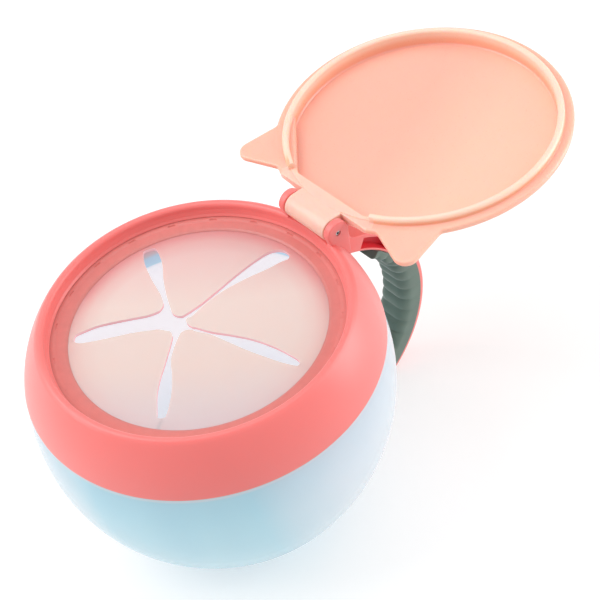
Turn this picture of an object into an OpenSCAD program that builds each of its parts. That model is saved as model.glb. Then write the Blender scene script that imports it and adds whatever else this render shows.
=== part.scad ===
// Toddler snack container: a round bowl, a twist-on collar that carries a soft
// petal flap, a hinged lid and a carrying handle.  Millimetres, +Z up.
// Origin: centre of the bowl's flat base.  The hinge and the handle lie towards +Y.

/* [Bowl] */
// Largest radius of the bowl
body_r = 49.6; // [47:0.1:53]
// Height of the bowl's widest part above the base
belly_h = 46.4; // [44:0.1:49]
// Radius of the round side, seen from the side
belly_arc = 56.4; // [53:0.1:60]
// Height of the line where the collar meets the bowl
seam_h = 60; // [57:0.1:63]
// Thickness of the bowl's side
bowl_wall = 2; // [1.5:0.1:2.6]
// Thickness of the bowl's floor
floor_t = 2.4; // [1.6:0.1:4]
// Rounding between the base and the side
base_round = 2; // [1:0.1:4]

/* [Collar] */
// Height of the rim's top above the seam
rim_h = 14.2; // [13:0.1:16]
// How far the mouth's edge lies inside the bowl's largest radius
mouth_in = 10.1; // [9.6:0.1:10.8]
// Radius of the rounded rim
rim_round = 1.15; // [0.9:0.05:1.5]
// Radius of the collar's bulging side, seen from the side
collar_arc = 37.1; // [30:0.1:50]
// How far the collar stands out past the bowl at the seam
collar_lip = 0.4; // [0:0.1:1]
// Thickness of the collar's outer wall
collar_wall = 2; // [1.4:0.1:2.4]
// Thickness of the skirt that goes into the bowl
skirt_wall = 2; // [1.4:0.1:2.6]
// Length of the skirt below the seam
skirt_drop = 8.6; // [8:0.1:12]
// Depth of the ledge inside the mouth, below the rim's top
seat_drop = 4.1; // [3.4:0.1:4.8]

/* [Twist lock] */
// Number of locking lugs on the collar and in the bowl
lug_n = 4; // [3:1:4]
// Angle that each locking lug covers
lug_arc = 30; // [20:1:34]
// Height of each locking lug
lug_h = 1.5; // [1:0.1:1.8]
// How far the collar's locking lugs stand out
lug_depth = 1.3; // [1:0.1:1.6]
// Rise of the lock in one full turn
lock_lead = 16; // [16:0.5:20]

/* [Flap] */
// Width of the sloping ring between the ledge and the flap
slope_w = 4.6; // [3.5:0.1:6]
// Fall of the sloping ring towards the flap
slope_fall = 0.6; // [0.4:0.1:1.4]
// Thickness of the soft flap
flap_t = 0.9; // [0.7:0.1:1.2]
// Number of petals
petal_n = 5; // [5:1:6]
// Distance from the flap's edge to the round ends of the slits
slit_inset = 2.2; // [1.6:0.1:4]
// Radius of the slits' round ends
slit_end_r = 1.6; // [1:0.1:2]
// Width of a slit where the petals' tips meet
slit_tip_w = 0.6; // [0.4:0.1:1]
// Where the slits meet, to the side of the flap's middle
slit_meet_x = -5; // [-6:0.5:6]
// Where the slits meet, in front of or behind the flap's middle
slit_meet_y = -2.5; // [-6:0.5:6]
// Radius of the opening where the slits meet
slit_meet_r = 2.6; // [1.5:0.1:4]
// Number of shallow key pockets round the sloping ring
key_n = 20; // [12:1:28]

/* [Lid] */
// How far the lid stands out past the mouth
lid_over = 1.8; // [1.5:0.1:2.8]
// Thickness of the lid's plate
lid_t = 1.8; // [1.4:0.1:2.2]
// Height of the lid's inner panel above the flange's underside
panel_up = 3; // [2.4:0.1:3.2]
// Rise of the panel from its edge to its middle
dome_rise = 3.5; // [2:0.1:6]
// Width of the lid's bead
bead_w = 1.8; // [1.4:0.1:2.2]
// Depth of the bead's lower edge below the rim's top
bead_drop = 0.9; // [0.6:0.1:2]
// Angle to each side of the hinge where the bead ends
bead_gap = 25.5; // [24:0.5:30]
// Distance from the hinge to the straight edge of the panel
land_w = 6.8; // [6:0.1:8]
// Angle from closed to open, where the lid lies on its stop
lid_open = 176; // [150:1:178]
// Radius of the ears' tips, from the mouth's middle
ear_reach = 51.3; // [49:0.1:55]
// Rounding of the ears' tips
ear_round = 3.5; // [2.5:0.1:4.5]
// Half the width of each ear where it leaves the lid
ear_half_w = 9.1; // [7:0.1:10]
// Angle between each ear and the hinge, about the mouth's middle
ear_angle = 40; // [38:1:60]

/* [Hinge] */
// Height of the hinge pin above the rim's top
hinge_up = 3.1; // [3:0.1:3.6]
// Distance of the hinge pin outside the mouth
hinge_out = 2; // [1.8:0.1:2.6]
// Radius of the lid's hinge barrel
barrel_r = 3.45; // [3.2:0.05:3.6]
// Half the length of the lid's hinge barrel
barrel_half_l = 7.7; // [6.5:0.1:9]
// Thickness of each hinge lug on the collar
hinge_lug_t = 2.1; // [1.6:0.1:3]
// Radius of the steel hinge pin
pin_r = 0.8; // [0.6:0.05:1.1]

/* [Handle] */
// Radius of the handle's outer edge, seen from the side
handle_r = 37.4; // [35.5:0.1:39]
// How far the middle of the handle's curve lies inside the bowl's widest part
handle_in = 13.1; // [11.5:0.1:14.5]
// Height of the middle of the handle's curve above the base
handle_h = 31.5; // [30.6:0.1:33]
// Width of the handle's frame
handle_w = 10.4; // [8:0.1:14]
// Depth of the handle's frame
handle_depth = 5.5; // [5:0.1:6.5]
// Thickness of the handle's outer strap
strap_t = 1.3; // [1:0.1:2]
// Thickness of the handle's middle web
web_t = 3; // [2:0.1:5]
// Angle below level at which the handle ends
handle_end = 52; // [42:1:52]

/* [Grip] */
// Thickness of the soft grip on the inside of the handle
grip_t = 2.9; // [2:0.1:4]
// How far the grip stands out to each side of the frame
grip_side = 0.4; // [0.2:0.1:1]
// Rounding of the grip's inner edges
grip_round = 3.2; // [2:0.1:4]
// Radius of each rib on the grip
rib_r = 0.9; // [0.6:0.1:1.2]
// Angle between ribs
rib_step = 8; // [6.5:0.5:12]

/* [Hidden] */
$fn = 96;
gap = 0.3;                  // clearance between pieces that move past each other
snug = 0.2;                 // clearance between pieces that are pressed together
eps = 0.01;
big = 200;

// bowl
belly_x = body_r - belly_arc;
function side_r(arc, z) = belly_x + sqrt(arc * arc - (z - belly_h) * (z - belly_h));
seam_r = side_r(belly_arc, seam_h);
seam_in_r = side_r(belly_arc - bowl_wall, seam_h);
base_x = belly_x + sqrt(pow(belly_arc - base_round, 2) - pow(belly_h - base_round, 2));
base_dir = atan2(base_round - belly_h, base_x - belly_x);

// collar
mouth_r = body_r - mouth_in;
rim_top = seam_h + rim_h;
rim_x = mouth_r + rim_round;
rim_z = rim_top - rim_round;
shoulder = [rim_x, rim_z] + polar(rim_round + 0.12, 36);
lower_edge = [seam_r + collar_lip, seam_h];
chord = shoulder - lower_edge;
chord_mid = (shoulder + lower_edge) / 2;
chord_off = sqrt(collar_arc * collar_arc - chord * chord / 4);
collar_c = chord_mid + [chord[1], -chord[0]] / norm(chord) * chord_off * -1;
skirt_r = seam_in_r - gap - lug_depth;
bore_r = skirt_r - skirt_wall;
seat_z = rim_top - seat_drop;
seat_r = mouth_r - 0.5;
flange_t = 1.5;
bore_top = seat_z - 1.6;
core_top = seam_h + 6;

// twist lock
lug_mean_r = skirt_r + lug_depth / 2;
lock_tilt = atan(lock_lead / (2 * PI * lug_mean_r));
bowl_lug_z = seam_h - 4.6;
collar_lug_z = bowl_lug_z - lug_h - gap;

// flap
frame_r = seat_r - snug;
frame_top = seat_z - 0.15;
flap_r = frame_r - slope_w;
lip_z = frame_top - slope_fall;
flap_top = lip_z - 0.35;
flap_mid = flap_top - flap_t / 2;
flap_clamp = 2.3;
frame_bottom = flap_top - flap_t - 0.7;
flange_r = bore_r - snug;
slit_r = flap_r - slit_inset;
petal_step = 360 / petal_n;
slit_meet = [slit_meet_x, slit_meet_y];
petal_root = slit_r * cos(petal_step / 2);
root_r = flap_t / 2 + 0.1;
root_half_l = slit_r * sin(petal_step / 2) - slit_end_r - 2.2;
function slit_dir(k) = 90 + k * petal_step;
function petal_dir(k) = slit_dir(k) + petal_step / 2;
function polar(r, a) = [r * cos(a), r * sin(a)];

// hinge
hinge_y = mouth_r + hinge_out;
hinge_z = rim_top + hinge_up;
saddle_r = barrel_r + gap;
hinge_lug_r = barrel_r + 0.05;
hinge_lug_in = barrel_half_l + gap;
hinge_half_w = hinge_lug_in + hinge_lug_t;
pin_half_l = hinge_half_w - 0.25;

hinge_root_y = hinge_y - hinge_lug_r - gap;   // the lid's plate stops here beside its barrel

// lid, drawn closed and then turned open about the hinge
lid_z = rim_top + gap;
lid_r = mouth_r + lid_over;
bead_r = mouth_r - 0.8;
panel_r = bead_r - bead_w;
bead_z = rim_top - bead_drop;
panel_z = lid_z + panel_up;
panel_arc = (panel_r * panel_r + dome_rise * dome_rise) / (2 * dome_rise);
dome_c = panel_z + dome_rise - panel_arc;
crown_r = bead_r;
land_y = hinge_y - land_w;
arm_up = 1.2;
room_w = sqrt(lid_r * lid_r - hinge_root_y * hinge_root_y) - barrel_half_l + gap;
ear_tip = ear_reach - ear_round;
ear_base = lid_r - 2.2;

// handle: its curve is drawn about the X direction through [handle_y, handle_h]
handle_y = body_r - handle_in;
handle_in_r = handle_r - handle_depth;
pocket_in_r = handle_in_r + 0.9;
pocket_out_r = handle_r - strap_t;
pocket_from = 38;
pocket_to = 62;
grip_r = handle_in_r - grip_t;
grip_from = -(handle_end + 4.5);
grip_to = 54;
grip_half_w = handle_w / 2 + grip_side;
stop_y = hinge_y + saddle_r;
stop_z = hinge_z - arm_up - 0.95;
stop_w = 2.5;
handle_face_y = body_r - 0.7;       // flat face between the collar and the handle's frame

// region inside the bowl's side arc, seen from the side
module belly_2d(arc) {
    intersection() {
        translate([belly_x, belly_h]) circle(r = arc, $fn = 180);
        translate([0, base_round]) square([big, big]);
    }
}

// outline of the whole bowl, filled
module bowl_outer_2d() {
    intersection() {
        union() {
            intersection() {
                belly_2d(belly_arc);
                tangent_z = belly_h + belly_arc * sin(base_dir);
                translate([0, tangent_z]) square([big, big]);
            }
            tangent = [belly_x, belly_h] + polar(belly_arc, base_dir);
            polygon([[0, 0], [base_x, 0], tangent, [0, tangent[1] + eps]]);
            translate([base_x, base_round]) circle(r = base_round);
        }
        square([big, seam_h - snug]);
    }
}

// one locking lug, tilted to follow the lock's rise
module lock_lug(r0, r1, z, turn) {
    rotate([0, 0, turn]) translate([0, 0, z]) rotate([lock_tilt, 0, 0])
        rotate([0, 0, -lug_arc / 2]) rotate_extrude(angle = lug_arc)
            translate([r0, -lug_h / 2]) square([r1 - r0, lug_h]);
}

module bowl() {
    color("lightblue") union() {
        rotate_extrude() difference() {
            bowl_outer_2d();
            intersection() {
                translate([belly_x, belly_h]) circle(r = belly_arc - bowl_wall, $fn = 180);
                translate([-eps, floor_t]) square([big, big]);
            }
        }
        for (k = [0 : lug_n - 1])
            lock_lug(skirt_r + snug, side_r(belly_arc - bowl_wall / 2, bowl_lug_z), bowl_lug_z,
                k * 360 / lug_n);
    }
}

// outline of the collar with everything inside it filled
module collar_outer_2d(grow = 0) {
    intersection() {
        translate(collar_c) circle(r = collar_arc + grow, $fn = 180);
        translate([0, seam_h]) square([big, shoulder[1] - seam_h]);
    }
    translate([rim_x, rim_z]) circle(r = rim_round);
    translate([0, seam_h]) square([rim_x, rim_z - seam_h]);
    translate([0, seam_h - skirt_drop]) square([skirt_r, skirt_drop + 1]);
}

// the space inside the collar: mouth, seat for the bead, bore for the flap frame
module collar_inner_2d() {
    translate([0, seat_z]) square([mouth_r, rim_top - seat_z + eps]);
    translate([0, bore_top - 1]) square([seat_r, seat_z - bore_top + 2]);
    difference() {
        translate([0, seam_h - skirt_drop - 1]) square([bore_r, bore_top - seam_h + skirt_drop + 1]);
        translate([bore_r + 0.1, frame_bottom - 0.7]) circle(r = 0.6);
    }
}

// hollow between the collar's outer wall and its skirt
module collar_core_2d() {
    difference() {
        intersection() {
            translate(collar_c) circle(r = collar_arc - collar_wall, $fn = 180);
            translate([0, seam_h - 1]) square([big, core_top - seam_h + 1]);
        }
        square([skirt_r, big]);
    }
}

// side view of a hinge lug, extruded along X
module hinge_lug() {
    root_y = rim_x - 1.1;
    rotate([90, 0, 90]) linear_extrude(hinge_lug_t) {
        translate([hinge_y, hinge_z]) circle(r = hinge_lug_r);
        polygon([[hinge_y - hinge_lug_r, hinge_z], [root_y, rim_z - 1], [root_y, core_top],
            [hinge_y + hinge_lug_r, core_top], [hinge_y + hinge_lug_r, hinge_z]]);
    }
}

// a cylinder along X on the hinge line
module on_hinge(r, half_l) {
    translate([-half_l, hinge_y, hinge_z]) rotate([0, 90, 0]) cylinder(r = r, h = 2 * half_l);
}

module collar() {
    color("salmon") union() {
        difference() {
            union() {
                rotate_extrude() collar_outer_2d();
                for (s = [hinge_lug_in, -hinge_half_w]) translate([s, 0, 0]) hinge_lug();
                intersection() {
                    handle_root();
                    translate([-handle_w, rim_x, core_top - 5])
                        cube([2 * handle_w, handle_face_y - rim_x, big]);
                }
            }
            rotate_extrude() collar_inner_2d();
            rotate_extrude() collar_core_2d();
            // saddle under the lid's hinge barrel
            on_hinge(saddle_r, hinge_lug_in);
            translate([-hinge_lug_in, 0, hinge_z - saddle_r])
                cube([2 * hinge_lug_in, hinge_y, saddle_r]);
            // pin holes
            on_hinge(pin_r + 0.02, hinge_half_w + 1);
        }
        for (k = [0 : lug_n - 1])
            lock_lug(skirt_r - skirt_wall / 2, skirt_r + lug_depth, collar_lug_z, k * 360 / lug_n);
    }
}

// turns a shape drawn as [radius, x] into part of the handle's curve
module handle_sweep(from, to) {
    translate([0, handle_y, handle_h]) rotate([90, 0, 90]) rotate([0, 0, from])
        rotate_extrude(angle = to - from) children();
}

// top of the handle, with the lid's stop behind the hinge
module handle_root() {
    handle_sweep(pocket_to, 80)
        translate([handle_in_r, -handle_w / 2]) square([handle_depth, handle_w]);
    handle_stop();
}

// slightly narrower than the handle
module handle_stop() {
    translate([-handle_w / 2 + 0.2, 0, 0]) rotate([90, 0, 90]) linear_extrude(handle_w - 0.4)
        polygon([[stop_y, core_top - 4], [stop_y, stop_z], [stop_y + stop_w, stop_z],
            [handle_y, handle_h] + polar(handle_r - 0.9, pocket_to + 3),
            [handle_y, handle_h] + polar(handle_in_r + 1.5, pocket_to + 8)]);
}

module handle_frame() {
    side_w = (handle_w - web_t) / 2;
    color("lightcoral") difference() {
        union() {
            handle_sweep(-handle_end, 80)
                translate([handle_in_r, -handle_w / 2]) square([handle_depth, handle_w]);
            handle_stop();
        }
        // side pockets, and room for the grip on both sides of the web
        for (s = [web_t / 2, -web_t / 2 - side_w - 1]) {
            handle_sweep(pocket_from, pocket_to)
                translate([pocket_in_r, s]) square([pocket_out_r - pocket_in_r, side_w + 1]);
            handle_sweep(-handle_end - 2, pocket_from - 3)
                translate([handle_in_r - 1, s]) square([pocket_out_r - handle_in_r + 1, side_w + 1]);
        }
        // flat face against the collar
        translate([-handle_w, 0, 0]) cube([2 * handle_w, handle_face_y, big]);
    }
}

// cross-section of the grip as [radius, x], round on its inner side
module grip_2d(outer_r) {
    translate([grip_r, -(grip_half_w - grip_round)])
        square([outer_r - grip_r, 2 * (grip_half_w - grip_round)]);
    intersection() {
        translate([grip_r, -grip_half_w]) square([outer_r - grip_r, 2 * grip_half_w]);
        union() {
            translate([grip_r + grip_round, -grip_half_w]) square([handle_r, 2 * grip_half_w]);
            for (s = [-1, 1])
                translate([grip_r + grip_round, s * (grip_half_w - grip_round)])
                    circle(r = grip_round, $fn = 48);
        }
    }
}

module handle_grip() {
    rib_n = floor((grip_to - grip_from - 8) / rib_step);
    inner_r = handle_in_r - 0.05;
    outer_r = pocket_out_r - 0.05;
    side_w = grip_half_w - web_t / 2 - 0.05;
    color("darkseagreen") union() {
        handle_sweep(grip_from, grip_to) grip_2d(inner_r);
        // cheeks beside the frame's web
        for (s = [web_t / 2 + 0.05, -grip_half_w]) handle_sweep(grip_from, pocket_from - 3)
            translate([inner_r - 0.6, s]) square([outer_r - inner_r + 0.6, side_w]);
        // end below the web
        handle_sweep(grip_from, -handle_end - 0.2)
            translate([inner_r - 0.6, -web_t]) square([outer_r - inner_r + 0.6, 2 * web_t]);
        for (k = [0 : rib_n - 1])
            translate([0, handle_y, handle_h]) rotate([grip_to - 5 - k * rib_step, 0, 0])
                translate([-(grip_half_w - grip_round), grip_r + 0.25, 0]) rotate([0, 90, 0])
                    cylinder(r = rib_r, h = 2 * (grip_half_w - grip_round), $fn = 32);
    }
}

module hinge_pin() {
    color("silver") on_hinge(pin_r, pin_half_l);
}

// section of the lid from its middle to its edge, closed
module lid_2d() {
    difference() {
        union() {
            // flange with a round edge
            translate([0, lid_z]) square([lid_r - lid_t / 2, lid_t]);
            translate([lid_r - lid_t / 2, lid_z + lid_t / 2]) circle(r = lid_t / 2);
            // crown
            intersection() {
                translate([0, dome_c]) circle(r = panel_arc + lid_t, $fn = 360);
                translate([0, lid_z]) square([crown_r, big]);
            }
        }
        intersection() {
            translate([0, dome_c]) circle(r = panel_arc, $fn = 360);
            translate([-eps, lid_z - 1]) square([panel_r + eps, big]);
        }
    }
}

// bead that goes down inside the rim
module bead_2d() {
    half_w = bead_w / 2 - 0.05;
    translate([bead_r - bead_w / 2, bead_z + half_w]) {
        translate([-half_w, 0]) square([2 * half_w, lid_z - bead_z]);
        circle(r = half_w, $fn = 48);
    }
}

// one ear, flat, pointing along X from the mouth's middle
module ear() {
    side = [ear_base, ear_half_w];
    tip = [ear_tip, 0];
    dir = atan2(side[1] - tip[1], side[0] - tip[0]);
    swing = acos(ear_round / norm(side - tip));
    touch = tip + polar(ear_round, dir - swing);
    translate([0, 0, lid_z]) linear_extrude(lid_t) {
        polygon([side, touch, tip, [touch[0], -touch[1]], [side[0], -side[1]]]);
        translate(tip) circle(r = ear_round, $fn = 64);
    }
}

module lid_closed() {
    difference() {
        union() {
            rotate_extrude() lid_2d();
            rotate([0, 0, 90 + bead_gap]) rotate_extrude(angle = 360 - 2 * bead_gap) bead_2d();
            // land between the panel's straight edge and the hinge
            intersection() {
                cylinder(r = crown_r - 0.5, h = panel_z + 1);
                translate([-big / 2, land_y, lid_z]) cube([big, big, panel_up + lid_t / 2]);
            }
            for (s = [-1, 1]) rotate([0, 0, 90 + s * ear_angle]) ear();
            // arm and barrel
            translate([-barrel_half_l, land_y, hinge_z - barrel_r])
                cube([2 * barrel_half_l, land_w, barrel_r + arm_up]);
            on_hinge(barrel_r, barrel_half_l);
        }
        on_hinge(pin_r + 0.06, hinge_half_w);
        // straight edge that leaves room for the collar's hinge lugs
        for (s = [barrel_half_l, -barrel_half_l - room_w]) translate([s, hinge_root_y, lid_z - 2])
            cube([room_w, big, hinge_up + hinge_lug_r + 3]);
    }
}

module lid() {
    color("peachpuff")
        translate([0, hinge_y, hinge_z]) rotate([-lid_open, 0, 0])
            translate([0, -hinge_y, -hinge_z]) lid_closed();
}

// ring that clips into the collar and holds the soft flap
module flap_frame() {
    color("indianred") difference() {
        rotate_extrude() difference() {
            polygon([[flap_r, lip_z], [frame_r, frame_top], [frame_r, bore_top - snug],
                [flange_r, bore_top - snug], [flange_r, frame_bottom],
                [flap_r + 1, frame_bottom], [flap_r + 1, flap_mid], [flap_r, flap_mid]]);
            translate([flap_r - 1, flap_top - flap_t])
                square([flap_clamp + 1 + 0.05, flap_t]);
        }
        // shallow key pockets
        for (k = [0 : key_n - 1]) rotate([0, 0, (k + 0.5) * 360 / key_n])
            translate([frame_r - 1.5, -1.1, frame_top - 0.75]) cube([0.9, 2.2, 2]);
    }
}

// one slit, from where the petals meet to its round end
module slit_2d(k) {
    end = polar(slit_r - slit_end_r, slit_dir(k));
    way = end - slit_meet;
    run = norm(way);
    translate(slit_meet) rotate(atan2(way[1], way[0])) {
        polygon([[0, -slit_tip_w / 2], [0, slit_tip_w / 2], [0.45 * run, slit_tip_w / 2],
            [run, slit_end_r], [run, -slit_end_r], [0.45 * run, -slit_tip_w / 2]]);
        translate([run, 0]) circle(r = slit_end_r, $fn = 32);
    }
}

// fixed outer part of the soft flap
module flap_ring() {
    hole_r = (petal_root + root_r + 0.15) / cos(petal_step / 2);
    color("mistyrose") translate([0, 0, flap_top - flap_t]) linear_extrude(flap_t) difference() {
        circle(r = flap_r + flap_clamp, $fn = 180);
        polygon([for (k = [0 : petal_n - 1]) polar(hole_r, slit_dir(k))]);
    }
}

// one petal, hinged along the line between two slit ends
module petal(k) {
    color("mistyrose") union() {
        translate([0, 0, flap_top - flap_t]) linear_extrude(flap_t) difference() {
            polygon([slit_meet, polar(slit_r, slit_dir(k)), polar(slit_r, slit_dir(k + 1))]);
            slit_2d(k);
            slit_2d(k + 1);
            for (j = [k, k + 1]) translate(polar(slit_r - slit_end_r, slit_dir(j)))
                circle(r = slit_end_r + 0.9, $fn = 32);
            translate(slit_meet) circle(r = slit_meet_r, $fn = 32);
        }
        rotate([0, 0, petal_dir(k)]) translate([petal_root, root_half_l, flap_mid])
            rotate([90, 0, 0]) cylinder(r = root_r, h = 2 * root_half_l, $fn = 32);
    }
}

bowl();
collar();
handle_frame();
handle_grip();
hinge_pin();
lid();
flap_frame();
flap_ring();
petal(0);  // petal_1
petal(1);  // petal_2
petal(2);  // petal_3
petal(3);  // petal_4
petal(4);  // petal_5
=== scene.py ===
"""Builds the looks of a toddler's snack container round its fixed frame."""

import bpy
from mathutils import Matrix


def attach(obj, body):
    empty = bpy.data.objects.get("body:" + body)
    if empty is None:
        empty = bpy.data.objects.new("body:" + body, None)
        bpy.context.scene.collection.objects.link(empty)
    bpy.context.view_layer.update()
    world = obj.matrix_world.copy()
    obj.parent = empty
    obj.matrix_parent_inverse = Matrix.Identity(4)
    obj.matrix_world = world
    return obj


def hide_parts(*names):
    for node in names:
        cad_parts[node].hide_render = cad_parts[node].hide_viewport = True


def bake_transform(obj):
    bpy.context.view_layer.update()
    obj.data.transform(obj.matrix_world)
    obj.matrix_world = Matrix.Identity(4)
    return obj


bl_info = {
    "name": "Snack container",
    "version": (1, 0, 0),
    "blender": (4, 5, 0),
    "location": "View3D > Sidebar > Snack container",
    "description": "Builds the bowl, collar, flap, lid, handle and grip of a snack container",
    "category": "Add Mesh",
}

import math

import bpy
from mathutils import Matrix, Vector

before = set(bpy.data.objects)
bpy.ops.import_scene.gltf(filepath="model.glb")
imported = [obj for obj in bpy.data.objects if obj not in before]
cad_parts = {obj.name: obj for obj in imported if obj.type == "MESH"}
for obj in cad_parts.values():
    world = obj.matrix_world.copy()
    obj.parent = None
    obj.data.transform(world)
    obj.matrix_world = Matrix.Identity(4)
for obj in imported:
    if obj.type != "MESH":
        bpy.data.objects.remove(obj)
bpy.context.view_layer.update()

MM = 0.001
SEAM = 60.0  # height of the collar's lower edge
RIM = 74.2  # height of the rim's top
MOUTH_R = 39.5  # the collar's inner wall
SEAT_R, SEAT_Z = 39.0, 70.1  # where the flap's ring sits
SKIRT_IN, SKIRT_OUT, SKIRT_LOW = 42.27, 44.27, 51.5
FLAP_TOP = 68.97  # upper side of the flap's skin
HINGE_Y, HINGE_Z = 41.5, 77.3
LUG_X, LUG_W, LUG_R = 8.0, 2.1, 3.5  # hinge lugs
LID_OPEN = 176  # degrees from closed
HANDLE_Y, HANDLE_Z = 36.5, 31.5  # centre of the handle's curve
STRAP_OUT, STRAP_IN = 37.4, 31.9  # its radii
GRIP_IN, GRIP_OUT = 28.8, 36.05
SLITS = 5
# sides of the bowl and the collar: centre (radius, height) and radius of the curve
BOWL_CENTRE, BOWL_ARC = (-6.8, 46.4), 56.4
COLLAR_CENTRE, COLLAR_ARC = (12.31, 51.12), 37.1
# the camera's own axes and place (mm)
CAMERA_RIGHT = Vector((0.654588, 0.744495, -0.131307))
CAMERA_UP = Vector((-0.491186, 0.550873, 0.674741))
CAMERA_BACK = Vector((0.574675, -0.377181, 0.726281))
CAMERA_PLACE = Vector((199.911, -98.8127, 244.2239 + SEAM))
CAMERA_LENS = 75


# ---------------------------------------------------------------- sizes and colours


class SnackCupSizes(bpy.types.PropertyGroup):
    steps: bpy.props.IntProperty(
        name="Steps round", description="Segments in a full turn of a round piece", default=192, min=48, max=256
    )
    wall: bpy.props.FloatProperty(
        name="Bowl wall", description="Thickness of the bowl's side", default=2.0 * MM, unit="LENGTH"
    )
    rim_round: bpy.props.FloatProperty(
        name="Rim rounding", description="Radius of the rolled rim", default=1.15 * MM, unit="LENGTH"
    )
    sag: bpy.props.FloatProperty(
        name="Petal sag", description="How far the petals' tips hang below the flap's edge",
        default=1.6 * MM, unit="LENGTH"
    )
    bead: bpy.props.FloatProperty(
        name="Lid bead", description="Width of the bead inside the lid", default=1.9 * MM, unit="LENGTH"
    )
    ribs: bpy.props.IntProperty(
        name="Grip ribs", description="Number of soft ribs on the grip", default=12, min=4, max=16
    )
    rib_depth: bpy.props.FloatProperty(
        name="Rib depth", description="Depth of the dips between the grip's ribs",
        default=0.75 * MM, unit="LENGTH"
    )


class SnackCupColours(bpy.types.PropertyGroup):
    coral: bpy.props.FloatVectorProperty(
        name="Coral", description="Colour of the collar and the handle's frame", subtype="COLOR", size=4,
        min=0, max=1, default=(0.90, 0.20, 0.187, 1)
    )
    blue: bpy.props.FloatVectorProperty(
        name="Blue", description="Colour of the bowl", subtype="COLOR", size=4,
        min=0, max=1, default=(0.47, 0.71, 0.80, 1)
    )
    peach: bpy.props.FloatVectorProperty(
        name="Peach", description="Colour of the lid", subtype="COLOR", size=4,
        min=0, max=1, default=(0.91, 0.485, 0.375, 1)
    )
    green: bpy.props.FloatVectorProperty(
        name="Green", description="Colour of the grip", subtype="COLOR", size=4,
        min=0, max=1, default=(0.098, 0.156, 0.124, 1)
    )
    blush: bpy.props.FloatVectorProperty(
        name="Blush", description="Colour of the soft flap", subtype="COLOR", size=4,
        min=0, max=1, default=(0.69, 0.57, 0.53, 1)
    )


# ---------------------------------------------------------------- modelling helpers


def only(obj=None):
    """Goes to object mode with nothing selected but obj."""
    if bpy.context.object and bpy.context.object.mode != "OBJECT":
        bpy.ops.object.mode_set(mode="OBJECT")
    bpy.ops.object.select_all(action="DESELECT")
    if obj:
        obj.select_set(True)
        bpy.context.view_layer.objects.active = obj


def start_line(name, point):
    """Starts a mesh as one selected vertex at point (mm), in edit mode."""
    only()
    bpy.ops.mesh.primitive_plane_add(size=MM, location=(0, 0, 0), enter_editmode=True)
    obj = bpy.context.object
    obj.name = obj.data.name = name
    bpy.ops.mesh.merge(type="CENTER")
    bpy.ops.transform.translate(value=Vector(point) * MM)
    return obj


def draw_line(points):
    """Extrudes the selected vertex from the first point through the others (mm)."""
    for a, b in zip(points, points[1:]):
        bpy.ops.mesh.extrude_region_move(
            TRANSFORM_OT_translate={"value": (Vector(b) - Vector(a)) * MM}
        )


def tidy():
    """Merges doubles and turns all faces outwards, in edit mode."""
    bpy.ops.mesh.select_all(action="SELECT")
    bpy.ops.mesh.remove_doubles(threshold=0.004 * MM)
    bpy.ops.mesh.normals_make_consistent(inside=False)


def smooth(obj, angle=35):
    only(obj)
    bpy.ops.object.shade_smooth_by_angle(angle=math.radians(angle))


def lathe(name, profile, steps=None):
    """Turns a profile of (radius, height) points in mm about the upright axis."""
    points = [(r, 0, z) for r, z in profile]
    obj = start_line(name, points[0])
    draw_line(points)
    bpy.ops.mesh.select_all(action="SELECT")
    bpy.ops.mesh.spin(
        steps=steps or bpy.context.scene.cup_sizes.steps, angle=2 * math.pi, center=(0, 0, 0), axis=(0, 0, 1)
    )
    tidy()
    only(obj)
    return obj


def curl(name, section, start, end, steps):
    """Sweeps a closed section of (radius, x) points along the handle's curve."""
    a = math.radians(start)
    c, s = math.cos(a), math.sin(a)
    points = [(x, HANDLE_Y + r * c, HANDLE_Z + r * s) for r, x in section]
    points.append(points[0])
    obj = start_line(name, points[0])
    draw_line(points)
    bpy.ops.mesh.select_all(action="SELECT")
    bpy.ops.mesh.remove_doubles(threshold=0.004 * MM)
    bpy.ops.mesh.edge_face_add()
    # the operator turns the other way round, hence the sign
    bpy.ops.mesh.spin(
        steps=steps, angle=-math.radians(end - start),
        center=(0, HANDLE_Y * MM, HANDLE_Z * MM), axis=(1, 0, 0)
    )
    tidy()
    only(obj)
    return obj


def slab(name, outline, low, high, up="Z"):
    """Extrudes a closed outline (mm): along Z from (x, y), or along X from (y, z)."""
    if up == "Z":
        points, lift = [(x, y, low) for x, y in outline], (0, 0, high - low)
    else:
        points, lift = [(low, y, z) for y, z in outline], (high - low, 0, 0)
    points.append(points[0])
    obj = start_line(name, points[0])
    draw_line(points)
    bpy.ops.mesh.select_all(action="SELECT")
    bpy.ops.mesh.remove_doubles(threshold=0.004 * MM)
    bpy.ops.mesh.edge_face_add()
    bpy.ops.mesh.extrude_region_move(TRANSFORM_OT_translate={"value": Vector(lift) * MM})
    tidy()
    only(obj)
    return obj


def arc(cx, cy, r, start, end, n=12):
    return [
        (cx + r * math.cos(math.radians(start + (end - start) * i / n)),
         cy + r * math.sin(math.radians(start + (end - start) * i / n)))
        for i in range(n + 1)
    ]


def turned(points, angle):
    """The points turned about the middle by angle (degrees)."""
    c, s = math.cos(math.radians(angle)), math.sin(math.radians(angle))
    return [(x * c - y * s, x * s + y * c) for x, y in points]


def clamp(value):
    return min(1.0, max(0.0, value))


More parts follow.
